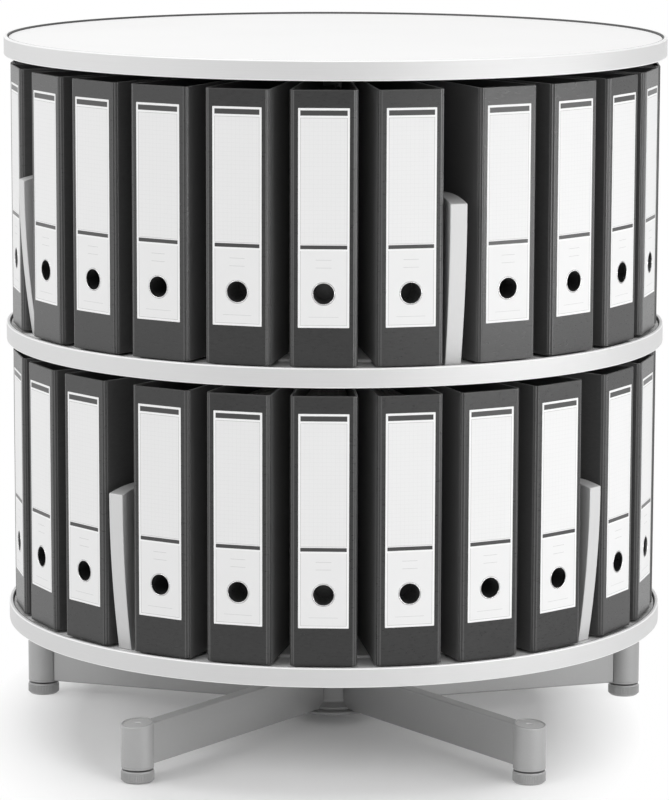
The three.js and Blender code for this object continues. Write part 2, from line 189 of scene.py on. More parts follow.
# Print of the labels, in millimetres from the top left corner
LABEL_WIDTH = 58.5
LABEL_HEIGHT = 250.5
PRINT_MARGIN = 2.5
PRINT_HEAD = (2.6, 8.6)
PRINT_WRITING = (11, 155)
PRINT_DIVIDE = (156, 160.4)
PRINT_FOOT = (162.5, LABEL_HEIGHT - PRINT_MARGIN)
PRINT_FRAME = 0.5  # line round a field
PRINT_SQUARE = 5
PRINT_SQUARE_LINE = 0.3
PRINT_RULE = 0.4
PRINT_ENTRIES = (172.6, 181.6)
PRINT_ENTRY_HALF = 9
PRINT_FOOTNOTE = 238
PRINT_FOOTNOTE_HALF = 17

# Camera, fitted to the photograph's rims
CAMERA_DISTANCE = 4.848
CAMERA_HEIGHT = 1.2137
CAMERA_PITCH = 9.493  # degrees
CAMERA_ROLL = 0.17  # degrees
CAMERA_LENS = 177.97
SENSOR_WIDTH = 36

# Studio
FLOOR_HALF = 40
FLOOR_DROP = 0.1 * MM
SHADOW_SHIFT = (0.04, 0, 0)
SHADOW_STRETCH = (1.35, 0.8, 1)
SHADOW_FADE = (0.39, 0.56)  # where shadow turns into plain white
AMBIENT = 0.5  # light from the surroundings, which still look white


class Wire:
    """Output of a node. Arithmetic on it adds Math nodes to its tree."""

    def __init__(self, tree, socket):
        self.tree = tree
        self.socket = socket

    def math(self, operation, *values):
        return self.tree.node("ShaderNodeMath", {"operation": operation}, dict(enumerate(values)))

    def output(self, name):
        return Wire(self.tree, self.socket.node.outputs[name])

    def __add__(self, other):
        return self.math("ADD", self, other)

    def __sub__(self, other):
        return self.math("SUBTRACT", self, other)

    def __rsub__(self, other):
        return self.math("SUBTRACT", other, self)

    def __mul__(self, other):
        return self.math("MULTIPLY", self, other)

    def __truediv__(self, other):
        return self.math("DIVIDE", self, other)

    def __mod__(self, other):
        return self.math("FLOORED_MODULO", self, other)

    def __gt__(self, other):
        return self.math("GREATER_THAN", self, other)

    def __lt__(self, other):
        return self.math("LESS_THAN", self, other)

    __radd__ = __add__
    __rmul__ = __mul__


class Tree:
    """Node tree in which one method makes every node."""

    def __init__(self, tree):
        self.tree = tree
        self.tree.nodes.clear()

    def node(self, kind, settings=None, sockets=None, output=0):
        made = self.tree.nodes.new(kind)
        for name, value in (settings or {}).items():
            setattr(made, name, value)
        for key, value in (sockets or {}).items():
            if isinstance(value, Wire):
                self.tree.links.new(value.socket, made.inputs[key])
            else:
                made.inputs[key].default_value = value
        return Wire(self, made.outputs[output]) if made.outputs else None

    def place(self):
        return self.node("ShaderNodeTexCoord", output="Object")

    def part(self, vector, axis):
        return self.node("ShaderNodeSeparateXYZ", {}, {0: vector}, axis)

    def length(self, vector):
        return self.node("ShaderNodeVectorMath", {"operation": "LENGTH"}, {0: vector}, "Value")

    def attribute(self, name):
        return self.node("ShaderNodeAttribute", {"attribute_name": name}, {}, "Fac")

    def stretched(self, vector, scale):
        return self.node("ShaderNodeMapping", {}, {"Vector": vector, "Scale": scale})

    def noise(self, vector, scale, detail=2.0, roughness=0.5):
        sockets = {"Vector": vector, "Scale": scale, "Detail": detail, "Roughness": roughness}
        return self.node("ShaderNodeTexNoise", {}, sockets)

    def cells(self, vector, scale):
        return self.node("ShaderNodeTexVoronoi", {}, {"Vector": vector, "Scale": scale}, "Distance")

    def spread(self, value, low, high, new_low=0.0, new_high=1.0):
        sockets = {"Value": value, "From Min": low, "From Max": high, "To Min": new_low, "To Max": new_high}
        return self.node("ShaderNodeMapRange", {"clamp": True}, sockets)

    def mix(self, factor, first, second):
        sockets = {0: factor, 6: first, 7: second}
        return self.node("ShaderNodeMix", {"data_type": "RGBA"}, sockets, 2)

    def bump(self, height, strength, distance):
        sockets = {"Height": height, "Strength": strength, "Distance": distance}
        return self.node("ShaderNodeBump", {}, sockets)

    def surface(self, sockets):
        shader = self.node("ShaderNodeBsdfPrincipled", {}, sockets)
        self.node("ShaderNodeOutputMaterial", {}, {"Surface": shader})


def grey(level, warmth=0.0):
    """Grey of a given linear level, a little warmer or cooler."""
    return (level * (1 + warmth), level, level * (1 - warmth), 1.0)


def material(name):
    made = bpy.data.materials.new(name)
    made.use_nodes = True
    return made, Tree(made.node_tree)


# Finishes


def satin_aluminium(base_height, tier_pitch, band_height, inside):
    """Anodised band, brushed along its length, with painted highlights along its edges and painted shade on
    its inner side.
    """
    made, tree = material("satin_aluminium")
    place = tree.place()
    strokes = tree.noise(tree.stretched(place, (9, 9, 2600)), scale=1, detail=3, roughness=0.6)
    clouds = tree.noise(place, scale=7, detail=2)
    height = (tree.part(place, "Z") - base_height) % tier_pitch
    # painted highlight: paler bands of colour along the rim's top and bottom edges
    low_highlight = tree.spread(height, RIM_ROUND, RIM_HIGHLIGHT_BAND)
    high_highlight = tree.spread(height, band_height - RIM_ROUND, band_height - RIM_HIGHLIGHT_BAND)
    # painted shade: the rim's inner side and a strip of its top along the inside are coloured nearly black
    shaded_inside = tree.length(tree.stretched(place, (1, 1, 0))) < inside + RIM_SHADE_LINE
    face = tree.mix(0.75 * strokes + 0.25 * clouds, grey(0.555), grey(0.665))
    band = tree.mix(low_highlight + high_highlight, face, grey(0.82))
    tree.surface({
        "Base Color": tree.mix(shaded_inside, band, grey(0.09)),
        "Metallic": 0.32,
        "Roughness": 0.46 + 0.16 * strokes,
        "Normal": tree.bump(strokes, strength=0.12, distance=0.05 * MM),
    })
    return made


def white_laminate():
    """Melamine face with a fine pearl texture."""
    made, tree = material("white_laminate")
    place = tree.place()
    pearl = tree.noise(place, scale=1500, detail=2)
    clouds = tree.noise(place, scale=5, detail=3)
    colour = tree.mix(clouds, grey(0.86, 0.002), grey(0.9, 0.002))
    tree.surface({
        "Base Color": colour,
        "Roughness": 0.42 + 0.12 * pearl,
        "Normal": tree.bump(pearl, strength=0.1, distance=0.08 * MM),
    })
    return made


def silver_lacquer():
    """Dividers: silver lacquer with faint upright strokes, more metallic on the sides."""
    made, tree = material("silver_lacquer")
    place = tree.place()
    strokes = tree.noise(tree.stretched(place, (900, 900, 9)), scale=1, detail=3, roughness=0.6)
    clouds = tree.noise(place, scale=16, detail=2)
    edge = tree.attribute(FRONT_EDGE)
    colour = tree.mix(0.6 * strokes + 0.4 * clouds, grey(0.54), grey(0.63))
    tree.surface({
        "Base Color": colour,
        "Metallic": 0.75 - 0.55 * edge,
        "Roughness": 0.5 + 0.14 * strokes,
        "Normal": tree.bump(strokes, strength=0.1, distance=0.05 * MM),
    })
    return made


def powder_coat(name, level):
    """Silver-grey powder coat: orange peel, with fine bright flakes."""
    made, tree = material(name)
    place = tree.place()
    peel = tree.noise(place, scale=900, detail=2)
    flakes = tree.spread(tree.cells(place, 1500), 0.12, 0.34, 1, 0)
    clouds = tree.noise(place, scale=11, detail=3)
    base = tree.mix(clouds, grey(level * 0.94), grey(level * 1.06))
    colour = tree.mix(0.3 * flakes, base, grey(min(1, level * 1.7)))
    tree.surface({
        "Base Color": colour,
        "Metallic": 0.35 + 0.3 * flakes,
        "Roughness": 0.4 + 0.1 * peel,
        "Coat Weight": 0.25,
        "Coat Roughness": 0.25,
        "Normal": tree.bump(peel, strength=0.16, distance=0.12 * MM),
    })
    return made


def turned_steel(name, level):
    """Bare steel with fine tool marks round the column."""
    made, tree = material(name)
    place = tree.place()
    marks = tree.noise(tree.stretched(place, (30, 30, 3500)), scale=1, detail=2)
    stains = tree.noise(place, scale=40, detail=4)
    colour = tree.mix(0.5 * marks + 0.5 * stains, grey(level * 0.85, 0.01), grey(level * 1.1))
    tree.surface({
        "Base Color": colour,
        "Metallic": 0.95,
        "Roughness": 0.26 + 0.18 * stains,
        "Normal": tree.bump(marks, strength=0.1, distance=0.04 * MM),
    })
    return made


def plated_steel():
    """Finger rings and lever mechanisms."""
    made, tree = material("plated_steel")
    smears = tree.noise(tree.place(), scale=260, detail=3)
    tree.surface({
        "Base Color": tree.mix(smears, grey(0.6), grey(0.72)),
        "Metallic": 1.0,
        "Roughness": 0.16 + 0.16 * smears,
    })
    return made


def grained_board(base_height, tier_pitch, file_height):
    """Anthracite covering of the files: level grain, matte covers, paler along the top board ends and in
    the grooves beside the spine, as wear and as painted highlight.
    """
    made, tree = material("grained_board")
    place = tree.place()
    fibres = tree.noise(tree.stretched(place, (150, 150, 480)), scale=1, detail=5, roughness=0.7)
    grain = tree.spread(fibres, 0.3, 0.7)
    clouds = tree.noise(place, scale=28, detail=3)
    cover = tree.attribute(COVER_PAPER)
    # grooves beside the spine are coloured paler, as wear and as painted highlight
    crease = tree.attribute(CREASE_WEAR_AND_HIGHLIGHT)
    height = (tree.part(place, "Z") - base_height) % tier_pitch
    # paler along the top board ends: wear, and a painted highlight
    top_wear_and_highlight = tree.spread(height, file_height - TOP_WEAR_AND_HIGHLIGHT_HEIGHT, file_height)
    scuffed = tree.spread(height, 0, SCUFFED_HEIGHT, 1, 0) * clouds
    mottle = 0.7 * grain + 0.3 * clouds
    spine = tree.mix(mottle, grey(0.001), grey(0.016))
    paper = tree.mix(mottle, grey(0.05), grey(0.08))
    plain = tree.mix(cover, spine, paper)
    # paler grey: painted highlight and wear in the grooves and along the top edges, scuffing at the bottom
    worn_and_highlit = tree.mix(0.75 * top_wear_and_highlight + 0.35 * scuffed + 0.5 * crease, plain, grey(0.11))
    tree.surface({
        "Base Color": worn_and_highlit,
        "Roughness": 0.25 + 0.12 * grain + 0.12 * cover,
        "Specular IOR Level": 0.54,
        "Sheen Weight": 0.15,
        "Sheen Roughness": 0.5,
        "Normal": tree.bump(grain, strength=0.14, distance=0.2 * MM),
    })
    return made


def stacked_sheets():
    """Paper edges: fine lines from sheet to sheet, each shade a little different."""
    made, tree = material("stacked_sheets")
    place = tree.place()
    sheets = tree.noise(tree.stretched(place, (2400, 2400, 6)), scale=1, detail=2)
    clouds = tree.noise(place, scale=30, detail=2)
    tree.surface({
        "Base Color": tree.mix(0.6 * sheets + 0.4 * clouds, grey(0.45, 0.02), grey(0.72, 0.02)),
        "Roughness": 0.85,
        "Normal": tree.bump(sheets, strength=0.3, distance=0.15 * MM),
    })
    return made


def printed_label():
    """Spine label, drawn in millimetres from its top left corner."""
    made, tree = material("printed_label")
    where = tree.node("ShaderNodeTexCoord", output="UV")
    across = tree.part(where, "X") * LABEL_WIDTH
    down = (1 - tree.part(where, "Y")) * LABEL_HEIGHT

    def between(value, low, high):
        return (value > low) * (value < high)

    def box(left, right, top, bottom):
        return between(across, left, right) * between(down, top, bottom)

    def ruled(value):
        return (value % PRINT_SQUARE) < PRINT_SQUARE_LINE

    def field(top, bottom, line=0):
        return box(PRINT_MARGIN + line, LABEL_WIDTH - PRINT_MARGIN - line, top, bottom)

    def rule(half, top):
        return box(LABEL_WIDTH / 2 - half, LABEL_WIDTH / 2 + half, top, top + PRINT_RULE)

    writing_top, writing_bottom = PRINT_WRITING
    foot_top, foot_bottom = PRINT_FOOT
    dark = field(*PRINT_HEAD) + field(*PRINT_DIVIDE)
    writing = field(writing_top, writing_bottom)
    fields = writing + field(foot_top, foot_bottom)
    inside = field(writing_top + PRINT_FRAME, writing_bottom - PRINT_FRAME, PRINT_FRAME)
    inside = inside + field(foot_top, foot_bottom - PRINT_FRAME, PRINT_FRAME)
    squares = (ruled(across - PRINT_MARGIN) + ruled(down - writing_top)) * writing
    entries = rule(PRINT_ENTRY_HALF, PRINT_ENTRIES[0]) + rule(PRINT_ENTRY_HALF, PRINT_ENTRIES[1])
    footnote = rule(PRINT_FOOTNOTE_HALF, PRINT_FOOTNOTE)
    fibre = tree.noise(tree.place(), scale=700, detail=3)

    paper = tree.mix(fibre, grey(0.84), grey(0.88))
    tinted = tree.mix(0.8 * fields, paper, grey(0.77))
    squared = tree.mix(0.17 * squares, tinted, grey(0.5))
    lined = tree.mix(0.62 * (fields - inside) + 0.6 * entries + 0.5 * footnote, squared, grey(0.32))
    tree.surface({
        "Base Color": tree.mix(dark, lined, grey(0.042)),
        "Roughness": 0.5 + 0.1 * fibre,
        "Specular IOR Level": 0.12,
        "Coat Weight": 0.7 * dark,
        "Coat Roughness": 0.3,
        "Normal": tree.bump(fibre, strength=0.05, distance=0.05 * MM),
    })
    return made


# Outlines and meshes


def rounded(corners, steps=5):
    """Outline with arcs at its corners; each corner is (x, y, radius)."""
    points = []
    for i, (x, y, radius) in enumerate(corners):
        here = Vector((x, y))
        if not radius:
            points.append(here)
            continue
        back = (Vector(corners[i - 1][:2]) - here).normalized()
        ahead = (Vector(corners[(i + 1) % len(corners)][:2]) - here).normalized()
        half = back.angle(ahead) / 2
        centre = here + (back + ahead).normalized() * radius / math.sin(half)
        start = here + back * radius / math.tan(half) - centre
        end = here + ahead * radius / math.tan(half) - centre
        first = math.atan2(start.y, start.x)
        sweep = (math.atan2(end.y, end.x) - first + math.pi) % math.tau - math.pi
        for step in range(steps + 1):
            turn = first + sweep * step / steps
            points.append(centre + radius * Vector((math.cos(turn), math.sin(turn))))
    return points


def curve(start, control, end, steps):
    """Points of a quadratic curve after its start."""
    points = []
    for step in range(1, steps + 1):
        t = step / steps
        points.append((1 - t) ** 2 * start + 2 * t * (1 - t) * control + t * t * end)
    return points


def mesh_of(points, faces):
    """Closed mesh from points and faces, with doubles merged and faces pointing out."""
    mesh = bpy.data.meshes.new("piece")
    mesh.from_pydata([tuple(p) for p in points], [], faces)
    shape = bmesh.new()
    shape.from_mesh(mesh)
    bmesh.ops.remove_doubles(shape, verts=shape.verts, dist=MERGE_DISTANCE)
    bmesh.ops.dissolve_degenerate(shape, edges=shape.edges, dist=MERGE_DISTANCE)
    bmesh.ops.recalc_face_normals(shape, faces=shape.faces)
    shape.to_mesh(mesh)
    shape.free()
    return mesh


def lathe(outline, sides):
    """Body turned about Z from a closed (radius, height) outline."""
    points = []
    faces = []
    count = len(outline)
    for side in range(sides):
        turn = math.tau * side / sides
        for radius, height in outline:
            points.append((radius * math.cos(turn), radius * math.sin(turn), height))
        this = side * count
        following = (side + 1) % sides * count
        for i in range(count):
            j = (i + 1) % count
            faces.append((this + i, following + i, following + j, this + j))
    return mesh_of(points, faces)


def plug(radius, low, high, sides):
    """Solid cylinder about Z."""
    return lathe([(0, low), (radius, low), (radius, high), (0, high)], sides)


def loft(loops):
    """Closed body through loops of equally many points."""
    count = len(loops[0])
    points = [point for loop in loops for point in loop]
    faces = [tuple(range(count)), tuple(range(len(points) - count, len(points)))]
    for level in range(len(loops) - 1):
        low = level * count
        for i in range(count):
            j = (i + 1) % count
            faces.append((low + i, low + j, low + count + j, low + count + i))
    return mesh_of(points, faces)


def prism(outline, low, high):
    return loft([[(x, y, z) for x, y in outline] for z in (low, high)])


def moved(mesh, matrix):
    copy = mesh.copy()
    copy.transform(matrix)
    return copy


def joined(*meshes):
    shape = bmesh.new()
    for mesh in meshes:
        shape.from_mesh(mesh)
    result = bpy.data.meshes.new("joined")
    shape.to_mesh(result)
    shape.free()
    return result


def add_object(name, data):
    made = bpy.data.objects.new(name, data)
    bpy.context.scene.collection.objects.link(made)
    return made


def holder(mesh):
    """Object that carries a mesh while modifiers work on it."""
    return add_object("holder", mesh)


def plain_mesh(made):
    """Mesh of an object with its modifiers applied. The object goes."""
    graph = bpy.context.evaluated_depsgraph_get()
    mesh = bpy.data.meshes.new_from_object(made.evaluated_get(graph))
    bpy.data.objects.remove(made)
    return mesh


def smooth(mesh, angle=SHARP_ANGLE):
    """Smooth shading that leaves broad faces flat and turns in the small ones beside them."""
    mesh.shade_smooth()
    mesh.set_sharp_from_angle(angle=math.radians(angle))
    body = holder(mesh)
    body.modifiers.new("flat_faces", "WEIGHTED_NORMAL").keep_sharp = True
    return plain_mesh(body)


def cut(mesh, *tools):
    """Mesh with other meshes cut out of it."""
    for tool in tools:
        body = holder(mesh)
        cutter = holder(tool)
        boolean = body.modifiers.new("cut", "BOOLEAN")
        boolean.operation = "DIFFERENCE"
        boolean.solver = "EXACT"
        boolean.object = cutter
        mesh = plain_mesh(body)
        bpy.data.objects.remove(cutter)
    return mesh


def bevelled(mesh, width, segments=3):
    body = holder(mesh)
    bevel = body.modifiers.new("bevel", "BEVEL")
    bevel.width = width
    bevel.segments = segments
    bevel.limit_method = "ANGLE"
    bevel.angle_limit = math.radians(SHARP_ANGLE)
    bevel.miter_outer = "MITER_ARC"
    return plain_mesh(body)


def rod(points, radius):
    """Round bar along points."""
    line = bpy.data.curves.new("rod", "CURVE")
    line.dimensions = "3D"
    line.bevel_depth = radius
    line.bevel_resolution = 2
    line.use_fill_caps = True
    spline = line.splines.new("POLY")
    spline.points.add(len(points) - 1)
    for target, point in zip(spline.points, points):
        target.co = (*point, 1)
    return plain_mesh(holder(line))


# Copies in a ring

RING_INPUTS = {
    "Shape": "NodeSocketObject",
    "Finish": "NodeSocketMaterial",
    "Copies": "NodeSocketInt",
    "Group size": "NodeSocketInt",
    "Start": "NodeSocketFloat",
    "Step": "NodeSocketFloat",
    "Group step": "NodeSocketFloat",
}


def ring_tree():
    """Copies of a shape turned about Z, with one step inside a group and another from group to group."""
    group = bpy.data.node_groups.new("copies_in_a_ring", "GeometryNodeTree")
    for name, kind in RING_INPUTS.items():
        group.interface.new_socket(name, in_out="INPUT", socket_type=kind)
    group.interface.new_socket("Geometry", in_out="OUTPUT", socket_type="NodeSocketGeometry")
    tree = Tree(group)
    given = tree.node("NodeGroupInput")
    index = tree.node("GeometryNodeInputIndex")
    size = given.output("Group size")
    inside = index % size
    whole = (index - inside) / size
    angle = given.output("Start") + inside * given.output("Step") + whole * given.output("Group step")
    turn = tree.node("ShaderNodeCombineXYZ", {}, {"Z": angle})
    points = tree.node("GeometryNodePoints", {}, {"Count": given.output("Copies")})
    shape = tree.node("GeometryNodeObjectInfo", {}, {"Object": given.output("Shape")}, "Geometry")
    sockets = {"Points": points, "Instance": shape, "Rotation": turn}
    copies = tree.node("GeometryNodeInstanceOnPoints", {}, sockets)
    solid = tree.node("GeometryNodeRealizeInstances", {}, {"Geometry": copies})
    sockets = {"Geometry": solid, "Material": given.output("Finish")}
    dressed = tree.node("GeometryNodeSetMaterial", {}, sockets)
    tree.node("NodeGroupOutput", {}, {"Geometry": dressed})
    return group


RING_TREE = ring_tree()


def ring_of(mesh, finish, copies, start, step, group_size=None, group_step=0.0):
    """Plain mesh of copies turned about the column, angles in radians."""
    shape = holder(mesh)
    carrier = holder(bpy.data.meshes.new("carrier"))
    modifier = carrier.modifiers.new("ring", "NODES")
    modifier.node_group = RING_TREE
    values = {
        "Shape": shape,
        "Finish": finish,
        "Copies": copies,
        "Group size": group_size or copies,
        "Start": start,
        "Step": step,
        "Group step": group_step,
    }
    for socket in RING_TREE.interface.items_tree:
        if socket.in_out == "INPUT":
            modifier[socket.identifier] = values[socket.name]
    result = plain_mesh(carrier)
    bpy.data.objects.remove(shape)
    return result


def piece(name, mesh, finish, slot, body, *nodes):
    """Finished piece on a body, in place of CAD nodes."""
    mesh.name = name
    mesh.materials.clear()
    mesh.materials.append(finish)
    made = add_object(name, mesh)
    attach(made, body)
    if nodes:
        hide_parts(*nodes)


# Sizes taken from the frame


def radius_of(node):
    low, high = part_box(node)
    return max(high.x - low.x, high.y - low.y) / 2


def heights_of(node):
    low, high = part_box(node)
    return low.z, high.z


def bearing_angle(node):
    """Angle about Z of a node's middle."""
    low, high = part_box(node)
    return math.atan2(low.y + high.y, low.x + high.x)


def spans(node, out):
    """Reach of a node along a level direction, and its half width across it."""
    side = Vector((-out.y, out.x, 0))
    points = [vertex.co for vertex in frame["nodes"][node].data.vertices]
    along = [point.dot(out) for point in points]
    across = [point.dot(side) for point in points]
    return min(along), max(along), (max(across) - min(across)) / 2


def nodes_named(start):
    return [name for name in frame["nodes"] if name.startswith(start)]


def outward(angle):
    return Vector((math.cos(angle), math.sin(angle), 0))


def level_turn(angle, height=0.0):
    return Matrix.Translation((0, 0, height)) @ Matrix.Rotation(angle, 4, "Z")


def ring_outline(bore, radius, low, high, edge):
    corners = [(bore, low), (radius, low), (radius, high), (bore, high)]
    return rounded([(r, z, edge) for r, z in corners], steps=3)


def disc_outline(radius, low, high, edge, steps=4):
    return rounded([(0, low, 0), (radius, low, edge), (radius, high, edge), (0, high, 0)], steps)


def turned_piece(node, outline, finish, slot, body):
    piece(f"{node}_turned", smooth(lathe(outline, POST_SIDES)), finish, slot, body, node)


# Stand


def build_stand():
    paint = powder_coat("stand_paint", level=0.365)
    count = len(nodes_named("post_"))
    ring = (count, bearing_angle("post_1"), math.tau / count)
    out = outward(bearing_angle("post_3"))
    post_in, post_out, post_radius = spans("post_3", out)
    post_circle = (post_in + post_out) / 2
    build_arms(paint, ring, out, post_circle, post_radius)
    build_posts(paint, ring, post_circle, post_radius)
    build_feet(paint, ring, out, post_circle)
    build_hub()
    return paint


def build_arms(paint, ring, out, post_circle, post_radius):
    """Tubes from the hub to the posts, cut to the round of both."""
    low, high = heights_of("arm_3")
    half_width = spans("arm_3", out)[2]
    half_height = (high - low) / 2
    section = rounded([(x * half_height, y * half_width, ARM_CORNER) for x, y in SQUARE])
    tube = prism(section, 0, post_circle)
    to_middle = Matrix.Translation((0, 0, (low + high) / 2))
    tube.transform(to_middle @ Matrix.Rotation(math.pi / 2, 4, "Y"))
    hub_cutter = plug(radius_of("hub_sleeve") + ARM_SINK, 0, 2 * high, POST_SIDES)
    post_cutter = plug(post_radius + ARM_SINK, 0, 2 * high, POST_SIDES)
    arm = cut(tube, hub_cutter, moved(post_cutter, Matrix.Translation((post_circle, 0, 0))))
    arms = smooth(ring_of(arm, paint, *ring))
    piece("arms", arms, paint, "stand_paint", "base", *nodes_named("arm_"))


def build_posts(paint, ring, post_circle, post_radius):
    """Round posts with slanting tops, and the caps that are let into them."""
    low, high = heights_of("post_3")
    fall = math.tan(math.radians(POST_SLANT))
    top = high - fall * post_radius

    def slanted(outline):
        mesh = lathe(outline, POST_SIDES)
        for vertex in mesh.vertices:
            if vertex.co.z > top - POST_SLANT_REACH:
                vertex.co.z -= fall * vertex.co.x
        mesh.transform(Matrix.Translation((post_circle, 0, 0)))
        return mesh

    groove = low + POST_GROOVE_HEIGHT
    cap_radius = post_radius - CAP_SETBACK
    bore = STEM_RADIUS + ARM_SINK
    outline = rounded([
        (bore, low, 0),
        (post_radius, low, POST_EDGE),
        (post_radius, groove, 0),
        (post_radius - POST_GROOVE_DEPTH, groove + POST_GROOVE_DEPTH, 0),
        (post_radius, groove + 2 * POST_GROOVE_DEPTH, 0),
        (post_radius, top, POST_EDGE),
        (cap_radius, top, POST_EDGE / 3),
        (cap_radius, top - CAP_SEAT, 0),
        (bore, top - CAP_SEAT, 0),
    ])
    posts = smooth(ring_of(slanted(outline), paint, *ring))
    piece("posts", posts, paint, "stand_paint", "base", *nodes_named("post_"))

    plastic = powder_coat("cap_plastic", level=0.5)
    cap_low = top - CAP_SEAT + CAP_LIFT
    cap_high = top - CAP_SINK
    outline = rounded([
        (0, cap_low, 0),
        (cap_radius - CAP_PLAY, cap_low, 0),
        (cap_radius - CAP_PLAY, cap_high, POST_EDGE / 3),
        (CAP_DIMPLE_RADIUS, cap_high, POST_EDGE / 3),
        (CAP_DIMPLE_RADIUS - CAP_DIMPLE_SLOPE, cap_high - CAP_DIMPLE_DEPTH, POST_EDGE / 4),
        (0, cap_high - CAP_DIMPLE_DEPTH, 0),
    ])
    caps = smooth(ring_of(slanted(outline), plastic, *ring))
    piece("post_caps", caps, plastic, "foot_cap", "base")


def build_feet(paint, ring, out, post_circle):
    """Levelling feet with ribs to grip, and their stems."""
    radius = spans("levelling_foot_3", out)[2] - FOOT_RIB_RADIUS
    stem_top = heights_of("levelling_foot_3")[1]
    outline = rounded([
        (0, 0, 0),
        (radius - FOOT_CHAMFER, 0, FOOT_UNDER_ROUND),
        (radius, FOOT_CHAMFER, FOOT_SIDE_ROUND),
        (radius, FOOT_HEIGHT, FOOT_TOP_ROUND),
        (STEM_RADIUS, FOOT_HEIGHT, STEM_ROOT_ROUND),
        (STEM_RADIUS, stem_top, STEM_END_ROUND),
        (0, stem_top, 0),
    ])
    rib_low = FOOT_CHAMFER + FOOT_RIB_LIFT
    rib_high = FOOT_HEIGHT - FOOT_BAND
    rib = lathe(disc_outline(FOOT_RIB_RADIUS, rib_low, rib_high, FOOT_RIB_ROUND, steps=2), RIB_SIDES)
    rib.transform(Matrix.Translation((radius, 0, 0)))
    ribs = ring_of(rib, paint, FOOT_RIBS, 0, math.tau / FOOT_RIBS)
    foot = joined(lathe(outline, POST_SIDES), ribs)
    count, start, step = ring
    for i in range(count):
        name = f"levelling_foot_{i + 1}"
        place = level_turn(start + i * step) @ Matrix.Translation((post_circle, 0, 0))
        piece(f"{name}_knurled", smooth(moved(foot, place)), paint, "stand_paint", name, name)


def build_hub():
    # painted shade: the hub gets a darker copy of the stand's paint, for the shadow it stands in under the
    # lower deck
    paint = powder_coat("shaded_hub_paint", level=0.26)
    radius = radius_of("hub_sleeve")
    low, high = heights_of("hub_sleeve")
    outline = rounded([
        (HUB_BORE, low, TURNED_EDGE),
        (radius + HUB_SKIRT, low, TURNED_EDGE),
        (radius + HUB_SKIRT, low + HUB_SKIRT / 3, TURNED_EDGE),
        (radius, low + HUB_SKIRT, HUB_SKIRT / 2),
        (radius, high, TURNED_EDGE),
        (HUB_BORE, high, TURNED_EDGE),
    ])
    turned_piece("hub_sleeve", outline, paint, "stand_paint", "base")
    outline = disc_outline(radius_of("base_plate"), *heights_of("base_plate"), TURNED_EDGE)
    turned_piece("base_plate", outline, paint, "stand_paint", "base")


# Column, bearings and flanges


def build_column():
    # painted shade: the column and its collar get a very dark copy of the bearing steel, for the dark
    # inside of the stacked decks
    steel = turned_steel("column_steel", level=0.12)
    bright = turned_steel("bearing_steel", level=0.55)

    def turned(node, bore, finish, slot, body):
        outline = ring_outline(bore, radius_of(node), *heights_of(node), TURNED_EDGE / 2)
        turned_piece(node, outline, finish, slot, body)

    turned("column", COLUMN_BORE, steel, "column_steel", "base")
    turned("column_collar", HUB_BORE, steel, "column_steel", "base")
    for tier in TIERS:
        carousel = f"{tier}_carousel"
        turned(f"{tier}_bearing_seat_washer", HUB_BORE, bright, "bearing_steel", "base")
        turned(f"{tier}_bearing_turning_washer", RUNNING_BORE, bright, "bearing_steel", carousel)
        race = f"{tier}_bearing_ball_ring"
        low, high = heights_of(race)
        ball = bpy.data.meshes.new("ball")
        shape = bmesh.new()
        bmesh.ops.create_uvsphere(shape, u_segments=BALL_SIDES, v_segments=BALL_LEVELS, radius=BALL_RADIUS)
        shape.to_mesh(ball)
        shape.free()
        ball.transform(Matrix.Translation((radius_of(race) - BALL_RADIUS, 0, (low + high) / 2)))
        balls = smooth(ring_of(ball, bright, BALLS, 0, math.tau / BALLS))
        piece(f"{tier}_bearing_balls", balls, bright, "bearing_steel", "base", race)


def build_flanges(paint):
    for deck, body in DECK_BODIES.items():
        is_top = deck == "top"
        bore = HUB_BORE if is_top else RUNNING_BORE
        node = f"{deck}_hub_flange"
        low, high = heights_of(node)
        plate_low = high - FLANGE_THICKNESS
        first = [(0, plate_low, 0), (bore, plate_low, 0)] if is_top else []
        last = (0, high, 0) if is_top else (bore, high, 0)
        outline = rounded([
            *first,
            (bore, low, TURNED_EDGE / 2),
            (bore + BOSS_WALL, low, TURNED_EDGE),
            (bore + BOSS_WALL, plate_low, TURNED_EDGE * 2),
            (radius_of(node), plate_low, TURNED_EDGE),
            (radius_of(node), high, TURNED_EDGE / 2),
            last,
        ], steps=3)
        turned_piece(node, outline, paint, "stand_paint", body)


# Decks


def build_decks():
    band_low, band_high = heights_of("lower_rim")
    tier_pitch = heights_of("upper_rim")[0] - band_low
    inside = radius_of("lower_rim") - RIM_WALL
    aluminium = satin_aluminium(band_low, tier_pitch, band_high - band_low, inside)
    laminate = white_laminate()
    for deck, body in DECK_BODIES.items():
        rim = f"{deck}_rim"
        radius = radius_of(rim)
        low, high = heights_of(rim)
        inside = radius - RIM_WALL
        ledge = inside - RIM_LEDGE
        outline = rounded([
            (ledge, low, RIM_LEDGE_ROUND),
            (radius, low, RIM_ROUND),
            (radius, high, RIM_ROUND),
            (inside, high, RIM_INNER_ROUND),
            (inside, low + RIM_LEDGE_THICKNESS, 0),
            (ledge, low + RIM_LEDGE_THICKNESS, RIM_LEDGE_ROUND),
        ])
        piece(f"{rim}_band", smooth(lathe(outline, DECK_SIDES)), aluminium, "rim_aluminium", body, rim)
        panel = f"{deck}_panel"
        low, high = heights_of(panel)
        edge = radius_of(panel) - PANEL_GROOVE
        if deck == "top":
            outline = disc_outline(edge, low, high, PANEL_EDGE)
        else:
            step = edge - PANEL_MARGIN
            outline = rounded([
                (RUNNING_BORE, low, PANEL_EDGE),
                (edge, low, PANEL_EDGE),
                (edge, high - PANEL_MARGIN_DEPTH, PANEL_EDGE / 2),
                (step, high - PANEL_MARGIN_DEPTH, 0),
                (step, high, PANEL_EDGE),
                (RUNNING_BORE, high, PANEL_EDGE),
            ], steps=3)
        piece(f"{panel}_board", smooth(lathe(outline, DECK_SIDES)), laminate, "deck_panel", body, panel)


# Dividers


